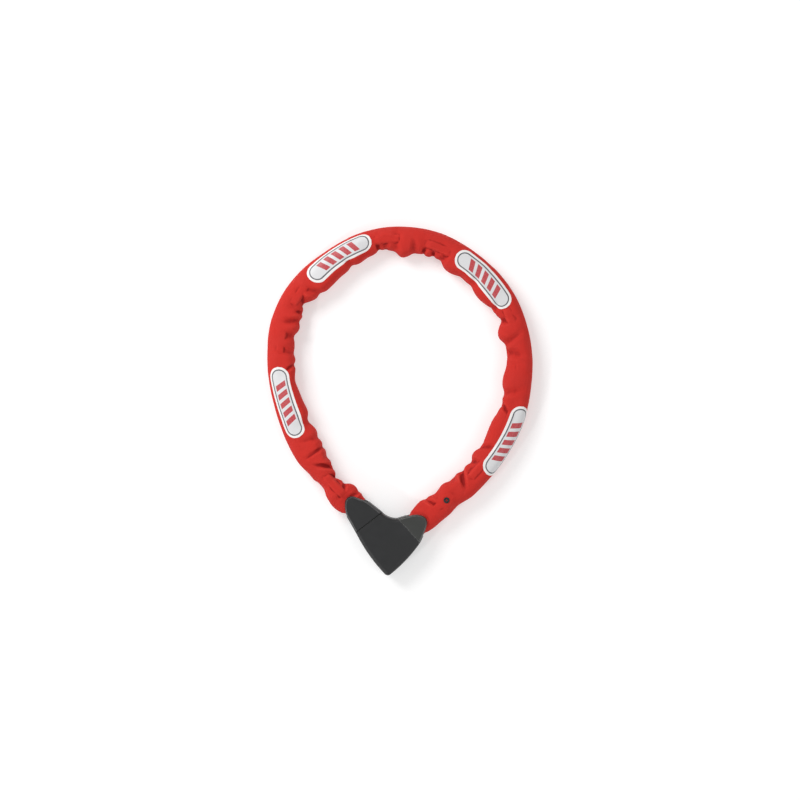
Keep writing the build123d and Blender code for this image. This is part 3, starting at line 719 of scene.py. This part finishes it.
def cloth_place(tree, map_name):
    """The two distances, along and around, that the mesh carries as its UV map, in metres."""
    place = add(tree, "ShaderNodeUVMap", uv_map=map_name)
    apart = add(tree, "ShaderNodeSeparateXYZ")
    tree.links.new(place.outputs["UV"], apart.inputs["Vector"])
    return apart.outputs["X"], apart.outputs["Y"]


def weave_height(tree, along, around):
    """Plain weave: warp and weft threads rise by turns."""
    def thread_height(distance):
        turned = math_node(tree, "MULTIPLY", distance, math.pi / THREAD)
        return absolute(tree, math_node(tree, "SINE", turned))

    def thread_number(distance):
        return math_node(tree, "FLOOR", math_node(tree, "DIVIDE", distance, THREAD))

    warp, weft = thread_height(along), thread_height(around)
    row, column = thread_number(along), thread_number(around)
    turn = math_node(tree, "MODULO", absolute(tree, math_node(tree, "ADD", row, column)), 2.0)
    from_warp = math_node(tree, "MULTIPLY", warp, turn)
    from_weft = math_node(tree, "MULTIPLY", weft, math_node(tree, "SUBTRACT", 1.0, turn))
    return math_node(tree, "ADD", from_warp, from_weft)


def sleeve_cloth():
    """Woven nylon: painted shade in the folds and between the threads, and a painted highlight on the ridges."""
    material, tree, shader = principled("sleeve_nylon", RED, 0.78)
    shader.inputs["Specular IOR Level"].default_value = 0.2
    along, around = cloth_place(tree, "cloth")
    weave = weave_height(tree, along, around)
    shape = add(tree, "ShaderNodeNewGeometry")
    # Painted shade in the folds, from the mesh's curvature.
    painted_fold_shade = between(tree, shape.outputs["Pointiness"], 0.498, 0.470, 0.0, 1.0)
    # Painted highlight on the ridges, from the mesh's curvature.
    painted_ridge_highlight = between(tree, shape.outputs["Pointiness"], 0.51, 0.56, 0.0, 0.7)
    mottle = between(tree, noise(tree, 34, 4), 0.3, 0.7, 0.0, 0.35)
    base = mixed(tree, mottle, RED, tuple(c * 0.8 for c in RED))
    base = mixed(tree, painted_fold_shade, base, RED_PAINTED_SHADE)
    base = mixed(tree, painted_ridge_highlight, base, RED_PAINTED_HIGHLIGHT)
    # Painted shade between the threads.
    painted_thread_shade = between(tree, weave, 0.15, 0.75, 0.30, 0.0)
    tree.links.new(mixed(tree, painted_thread_shade, base, RED_PAINTED_SHADE), shader.inputs["Base Color"])
    gloss = between(tree, noise(tree, 80, 3), 0.3, 0.7, 0.70, 0.86)
    tree.links.new(gloss, shader.inputs["Roughness"])
    stretched = add(tree, "ShaderNodeCombineXYZ")
    tree.links.new(along, stretched.inputs["X"])
    tree.links.new(math_node(tree, "MULTIPLY", around, 0.3), stretched.inputs["Y"])
    wrinkles = add(tree, "ShaderNodeTexNoise", Scale=85.0, Detail=3.0, Distortion=0.6)
    tree.links.new(stretched.outputs["Vector"], wrinkles.inputs["Vector"])
    slack = bump(tree, shader, wrinkles.outputs["Fac"], 1.6 * MM, 0.6)
    creased = bump(tree, shader, noise(tree, 190, 5, 0.6), 0.4 * MM, 0.22, slack.outputs["Normal"])
    bump(tree, shader, weave, 0.12 * MM, 0.6, creased.outputs["Normal"])
    return material


def inside_stadium(tree, along, around):
    """How far a place is inside the patch's edge."""
    half_run = (PATCH_LENGTH - PATCH_WIDTH) / 2
    past = math_node(tree, "MAXIMUM", math_node(tree, "SUBTRACT", absolute(tree, along), half_run), 0.0)
    square = math_node(tree, "ADD", math_node(tree, "POWER", past, 2.0),
                       math_node(tree, "POWER", absolute(tree, around), 2.0))
    return math_node(tree, "SUBTRACT", PATCH_WIDTH / 2, math_node(tree, "SQRT", square))


def slanted_bars(tree, along, around):
    """1 on each of the bars in the middle of the patch, 0 between and around them."""
    leaning = math_node(tree, "ADD", along, math_node(tree, "MULTIPLY", around, BAR_LEAN))
    steps = math_node(tree, "ADD", math_node(tree, "DIVIDE", leaning, BAR_PITCH), 0.5)
    off_middle = absolute(tree, math_node(tree, "SUBTRACT", math_node(tree, "FRACT", steps), 0.5))
    bar = math_node(tree, "LESS_THAN", off_middle, BAR_HALF_SHARE)
    in_height = math_node(tree, "LESS_THAN", absolute(tree, around), BAR_HALF_HEIGHT)
    in_run = math_node(tree, "LESS_THAN", absolute(tree, leaning), BAR_COUNT / 2 * BAR_PITCH)
    return math_node(tree, "MULTIPLY", bar, math_node(tree, "MULTIPLY", in_height, in_run))


def printed_patch():
    """White reflective cloth with a dark line inside its edge and a row of red slanted bars."""
    material, tree, shader = principled("reflective_print", PRINT_WHITE, 0.5)
    shader.inputs["Specular IOR Level"].default_value = 0.6
    along, around = cloth_place(tree, "patch")
    inside = inside_stadium(tree, along, around)
    off_line = absolute(tree, math_node(tree, "SUBTRACT", inside, KEYLINE_INSET))
    line = math_node(tree, "LESS_THAN", off_line, KEYLINE_HALF)
    field = math_node(tree, "GREATER_THAN", inside, KEYLINE_INSET + KEYLINE_HALF / 2)
    scuffed = between(tree, noise(tree, 700, 4), 0.35, 0.65, 0.0, 0.12)
    white = mixed(tree, field, PRINT_WHITE, PRINT_INNER)
    base = mixed(tree, line, white, PRINT_LINE)
    base = mixed(tree, slanted_bars(tree, along, around), base, PRINT_RED)
    tree.links.new(mixed(tree, scuffed, base, PRINT_SCUFF), shader.inputs["Base Color"])
    beads = noise(tree, 2600, 2)
    tree.links.new(between(tree, beads, 0.3, 0.7, 0.38, 0.62), shader.inputs["Roughness"])
    bump(tree, shader, beads, 0.05 * MM, 0.5)
    return material


def dark_eyelet():
    """Blackened eyelet, bright where the rim is rubbed."""
    material, tree, shader = principled("eyelet_black", EYELET_BLACK, 0.35, 0.6)
    rounded = add(tree, "ShaderNodeBevel", samples=4, Radius=0.3 * MM)
    rubbed = between(tree, noise(tree, 1500, 3), 0.5, 0.75, 0.0, 0.6)
    tree.links.new(mixed(tree, rubbed, EYELET_BLACK, EYELET_RUBBED), shader.inputs["Base Color"])
    bump(tree, shader, noise(tree, 2200, 2), 0.03 * MM, 0.5, rounded.outputs["Normal"])
    return material


# The second colour given to each plastic is its painted highlight along the edges.
body_black = moulded_plastic("body_black", (0.014, 0.0145, 0.0155), (0.22, 0.22, 0.225), 0.48)
plug_cap_black = moulded_plastic("plug_cap_black", (0.014, 0.0165, 0.020), (0.36, 0.36, 0.37), 0.44)
end_cap_grey = moulded_plastic("end_cap_grey", (0.036, 0.038, 0.035), (0.24, 0.24, 0.24), 0.46)
keyhole_black = moulded_plastic("keyhole_black", (0.022, 0.022, 0.024), (0.10, 0.10, 0.10), 0.38, 0.03 * MM)
plain_steel = worked_metal("plain_steel", (0.52, 0.53, 0.54), 0.34, (1.0, 6.0, 6.0), 500)
plated_steel = worked_metal("plated_steel", (0.62, 0.60, 0.55), 0.30, (3.0, 1.0, 1.0), 420)
turned_brass = worked_metal("turned_brass", (0.68, 0.50, 0.23), 0.28, (8.0, 1.0, 1.0), 460)
eyelet_black = dark_eyelet()
cloth_red = sleeve_cloth()
print_white = printed_patch()

SLOT_LOOKS = {
    "body_plastic": body_black,
    "cap_plastic": end_cap_grey,
    "keyhole_plastic": keyhole_black,
    "steel": plain_steel,
    "chain_steel": plated_steel,
    "brass": turned_brass,
    "sleeve_fabric": cloth_red,
    "eyelet_metal": eyelet_black,
}


def dress_cad_nodes():
    """Gives every CAD node the finish of its material slot, and the plug's cap its own shade."""
    for part in frame["record"]["subparts"]:
        look = SLOT_LOOKS[part["material_slot"]]
        if part["node"].startswith("plug_cap") and part["material_slot"] == "cap_plastic":
            look = plug_cap_black
        for slot in frame["nodes"][part["node"]].material_slots:
            slot.material = look


# ---------------------------------------------------------------- sleeve pieces

def cloth_piece(name, material, grid, normals, along_at, around_at, closed):
    """A piece of cloth from a grid, with its own normals. Its UV map holds the distances along it and
    around it in metres, and is called cloth on a closed tube and patch on an open piece. A tube has
    one more distance around than columns, because it comes back to its first column."""
    faces = grid_faces(*grid.shape[:2], closed)
    places = []
    for face in faces:
        left = face[0][1]
        for (i, _), j in zip(face, (left, left, left + 1, left + 1)):
            places += [along_at[i], around_at[i, j]]
    mesh = grid_mesh(name, grid, faces)
    mesh.polygons.foreach_set("use_smooth", [True] * len(mesh.polygons))
    layer = mesh.uv_layers.new(name="cloth" if closed else "patch")
    layer.data.foreach_set("uv", np.array(places, np.float32))
    mesh.normals_split_custom_set_from_vertices(normals.reshape(-1, 3).tolist())
    mesh.materials.append(material)
    return linked(name, mesh)


def body_middles():
    """Distance along the route of the middle of each chain body from the second to the last but one."""
    ends = [*hinge_at, sleeve_length]
    return [(ends[k] + ends[k + 1]) / 2 for k in range(1, len(hinges) - 1)]


seam_rows = [0, *[int(np.abs(fine_rows - m).argmin()) for m in body_middles()], len(fine_rows) - 1]


def bend_over_hinge(piece):
    """Bakes the piece's placement into its mesh."""
    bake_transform(piece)


def make_sleeve_pieces():
    """The tube cut at the middle of each chain body but the first and last, which keep their ends."""
    for k in range(1, len(seam_rows)):
        first, last = seam_rows[k - 1], seam_rows[k]
        part = slice(first, last + 1)
        around_at = np.tile(np.linspace(0, ring_length, fine_around + 1), (last + 1 - first, 1))
        piece = cloth_piece(f"sleeve_cloth_{k:02d}", cloth_red, cloth_grid[part], cloth_normals[part],
                            fine_rows[part], around_at, closed=True)
        bend_over_hinge(piece)
        covered = [f"sleeve_{k:02d}"]
        if k == len(seam_rows) - 1:
            covered.append(f"sleeve_{k + 1:02d}")
        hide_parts(*covered)


# ---------------------------------------------------------------- printed patches

def sampled(values, length, around):
    """Values of the fine grid at a distance along the sleeve and around it, between its points."""
    i = np.clip((length - fine_rows[0]) / (fine_rows[1] - fine_rows[0]), 0, len(fine_rows) - 1.001)
    j = around / ring_length * fine_around
    i0, j0 = np.floor(i).astype(int), np.floor(j).astype(int)
    a, b = (i - i0)[..., None], (j - j0)[..., None]
    j0, j1 = j0 % fine_around, (j0 + 1) % fine_around
    low = values[i0, j0] * (1 - b) + values[i0, j1] * b
    high = values[i0 + 1, j0] * (1 - b) + values[i0 + 1, j1] * b
    return low * (1 - a) + high * a


def make_patch(name, centre, near_end, far_end):
    """A stadium of thin cloth on the sleeve, cut where the sleeve's pieces meet."""
    centre = centre * MM
    half_run = (PATCH_LENGTH - PATCH_WIDTH) / 2
    low, high = centre - PATCH_LENGTH / 2, centre + PATCH_LENGTH / 2
    crossed = [k for k, at in enumerate(hinge_at) if low - BLEND_REACH < at < high + BLEND_REACH]
    cuts = [low, *[fine_rows[seam_rows[k]] for k in crossed[:-1]], high]
    top = ring_length / 4
    for number, (k, start, end) in enumerate(zip(crossed, cuts[:-1], cuts[1:]), 1):
        lengths = np.linspace(start, end, max(6, int((end - start) / PATCH_STEP)))
        along = lengths - centre
        past = np.maximum(np.abs(along) - half_run, 0)
        half = np.sqrt(np.maximum((PATCH_WIDTH / 2) ** 2 - past ** 2, PATCH_TIP ** 2))
        columns = np.linspace(-1, 1, PATCH_COLUMNS)
        across_patch = half[:, None] * columns[None]
        lean = (near_end + (far_end - near_end) * (along / PATCH_LENGTH + 0.5)) * MM
        around = top - lean[:, None] + across_patch
        length = np.repeat(lengths[:, None], PATCH_COLUMNS, 1)
        points, normals = sampled(cloth_grid, length, around), sampled(cloth_normals, length, around)
        normals /= np.linalg.norm(normals, axis=2)[..., None]
        lift = PATCH_THICKNESS * smooth(1 + EDGE_OPEN - np.abs(columns), 0, EDGE_TURN)
        points = points + normals * lift[None, :, None]
        piece_name = name if len(cuts) == 2 else f"{name}_{number}"
        piece = cloth_piece(piece_name, print_white, points, normals, along, across_patch, closed=False)
        bend_over_hinge(piece)


# ---------------------------------------------------------------- floor, light and camera

def make_floor():
    """Backlit white sheet, for the photograph's white ground."""
    bpy.ops.mesh.primitive_plane_add(size=FLOOR_SIZE, location=(0, 0, -FLOOR_DROP))
    floor = bpy.context.object
    floor.name = "floor"
    material, tree, shader = principled("paper_white", (0.70, 0.70, 0.70), 0.9)
    shader.inputs["Specular IOR Level"].default_value = 0.1
    tone = between(tree, noise(tree, 3, 2), 0.3, 0.7, 0.0, 1.0)
    tree.links.new(mixed(tree, tone, (0.69, 0.69, 0.69), (0.71, 0.71, 0.71)), shader.inputs["Base Color"])
    shader.inputs["Emission Color"].default_value = (1, 1, 1, 1)
    shader.inputs["Emission Strength"].default_value = 0.36
    floor.data.materials.append(material)


def area_light(name, location, size, energy):
    """A round light aimed at the middle of the view."""
    light = bpy.data.lights.new(name, "AREA")
    light.shape = "DISK"
    light.size = size
    light.energy = energy
    obj = linked(name, light)
    obj.location = location
    aim = Vector((*VIEW_CENTRE, 0)) - Vector(location)
    obj.rotation_euler = aim.to_track_quat("-Z", "Y").to_euler()


def make_lights():
    """Large soft key from the top left of the view, weaker fill, small rim light, white world."""
    area_light("key", (-0.9, 1.0, 1.1), 0.9, 17)
    area_light("fill", (1.0, -0.3, 1.2), 1.4, 5)
    area_light("rim", (-1.0, -0.75, 1.0), 0.16, 4.5)
    world = bpy.data.worlds.new("studio")
    world.use_nodes = True
    background = world.node_tree.nodes["Background"]
    background.inputs["Color"].default_value = (1, 1, 1, 1)
    background.inputs["Strength"].default_value = 0.50
    bpy.context.scene.world = world
    bpy.context.scene.view_settings.view_transform = "Standard"


def make_camera():
    """Straight above the loop, as high as makes the view VIEW_WIDTH wide at the chain's height."""
    data = bpy.data.cameras.new("camera")
    data.lens = LENS
    data.clip_start, data.clip_end = 0.05, 20
    camera = linked("camera", data)
    camera.location = (*VIEW_CENTRE, mid_height + VIEW_WIDTH * LENS / data.sensor_width)
    bpy.context.scene.camera = camera


make_camera()
make_lights()
make_floor()
dress_cad_nodes()
make_sleeve_pieces()
for patch, (centre, near_end, far_end) in PATCHES.items():
    make_patch(patch, centre, near_end, far_end)
